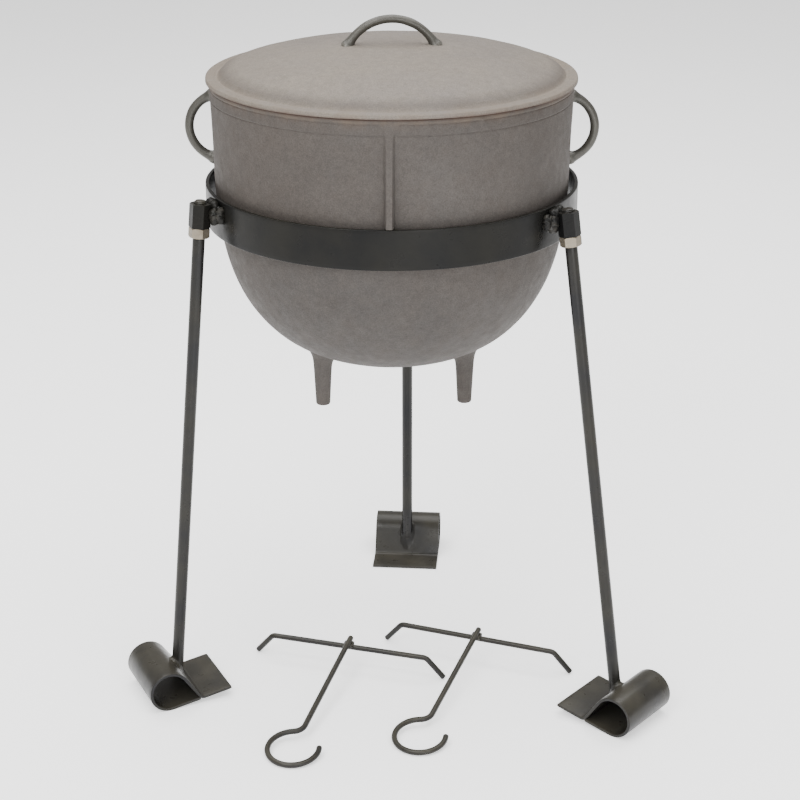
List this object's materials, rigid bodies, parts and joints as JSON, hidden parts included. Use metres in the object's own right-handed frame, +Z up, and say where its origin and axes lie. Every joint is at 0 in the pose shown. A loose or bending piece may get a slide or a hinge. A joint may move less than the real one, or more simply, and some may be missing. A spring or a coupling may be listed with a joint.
{
  "type": "stew pot on tripod stand",
  "caption": "Round-bottomed cast-iron stew pot with a domed lid, carried by its ribs in a band ring on screwed-in rod legs with rolled plate feet, with T-handled lift hooks.",
  "frame": {"origin": "on the floor, on the common axis of the pot and the ring, which is the middle of the plan box of the whole set", "axes": "+Z up along the pot's axis; the front rib faces -Y; the ears lie along X"},
  "size_m": [0.7447, 0.6833, 0.9055],
  "materials": {
    "cast_iron": "bare grey iron with a fine sand-cast grain, warm brown bloom and light rust at the rim",
    "forged_bar": "dark hammered iron bar, slightly oily",
    "black_paint": "semi-gloss black paint over mill-scale bar",
    "zinc_plate": "dull yellowish zinc plate"
  },
  "bodies": {
    "stand": {"ring_band": "black_paint", "socket_left": "black_paint", "socket_right": "black_paint", "socket_back": "black_paint", "socket_weld_left": "black_paint", "socket_weld_right": "black_paint", "socket_weld_back": "black_paint"},
    "leg_left": {"leg_rod_left": "black_paint", "foot_left": "black_paint", "foot_weld_left": "black_paint"},
    "leg_right": {"leg_rod_right": "black_paint", "foot_right": "black_paint", "foot_weld_right": "black_paint"},
    "leg_back": {"leg_rod_back": "black_paint", "foot_back": "black_paint", "foot_weld_back": "black_paint"},
    "lock_nut_left": {"jam_nut_left": "zinc_plate"},
    "lock_nut_right": {"jam_nut_right": "zinc_plate"},
    "lock_nut_back": {"jam_nut_back": "zinc_plate"},
    "pot_body": {"pot": "cast_iron", "ear_left": "forged_bar", "ear_right": "forged_bar"},
    "lid_body": {"lid": "cast_iron", "lid_handle": "forged_bar"},
    "hook_left": {"hook_bar_left": "black_paint", "hook_rod_left": "black_paint", "hook_weld_left": "black_paint"},
    "hook_right": {"hook_bar_right": "black_paint", "hook_rod_right": "black_paint", "hook_weld_right": "black_paint"}
  },
  "joints": [
    {"name": "leg_left_turn", "type": "hinge", "parent": "stand", "child": "leg_left", "pos_m": [-0.2948, -0.14379, 0.038], "axis": [0.0838, 0.0409, 0.9956], "range_deg": [-180, 180]},
    {"name": "lock_nut_left_spin", "type": "hinge", "parent": "leg_left", "child": "lock_nut_left", "pos_m": [-0.2948, -0.14379, 0.038], "axis": [0.0838, 0.0409, 0.9956], "continuous": true},
    {"name": "leg_right_turn", "type": "hinge", "parent": "stand", "child": "leg_right", "pos_m": [0.3026, -0.20411, 0.038], "axis": [-0.1245, 0.084, 0.9887], "range_deg": [-180, 180]},
    {"name": "lock_nut_right_spin", "type": "hinge", "parent": "leg_right", "child": "lock_nut_right", "pos_m": [0.3026, -0.20411, 0.038], "axis": [-0.1245, 0.084, 0.9887], "continuous": true},
    {"name": "leg_back_turn", "type": "hinge", "parent": "stand", "child": "leg_back", "pos_m": [0.0196, 0.28032, 0.038], "axis": [-0.0014, -0.0196, 0.9998], "range_deg": [-180, 180]},
    {"name": "lock_nut_back_spin", "type": "hinge", "parent": "leg_back", "child": "lock_nut_back", "pos_m": [0.0196, 0.28032, 0.038], "axis": [-0.0014, -0.0196, 0.9998], "continuous": true},
    {"name": "pot_lift", "type": "slide", "parent": "stand", "child": "pot_body", "axis": [0, 0, 1], "range_m": [0, 0.35]},
    {"name": "lid_lift", "type": "slide", "parent": "pot_body", "child": "lid_body", "axis": [0, 0, 1], "range_m": [0, 0.25]},
    {"name": "hook_left_lift", "type": "slide", "parent": "stand", "child": "hook_left", "axis": [0, 0, 1], "range_m": [0, 0.25]},
    {"name": "hook_right_lift", "type": "slide", "parent": "stand", "child": "hook_right", "axis": [0, 0, 1], "range_m": [0, 0.25]}
  ]
}
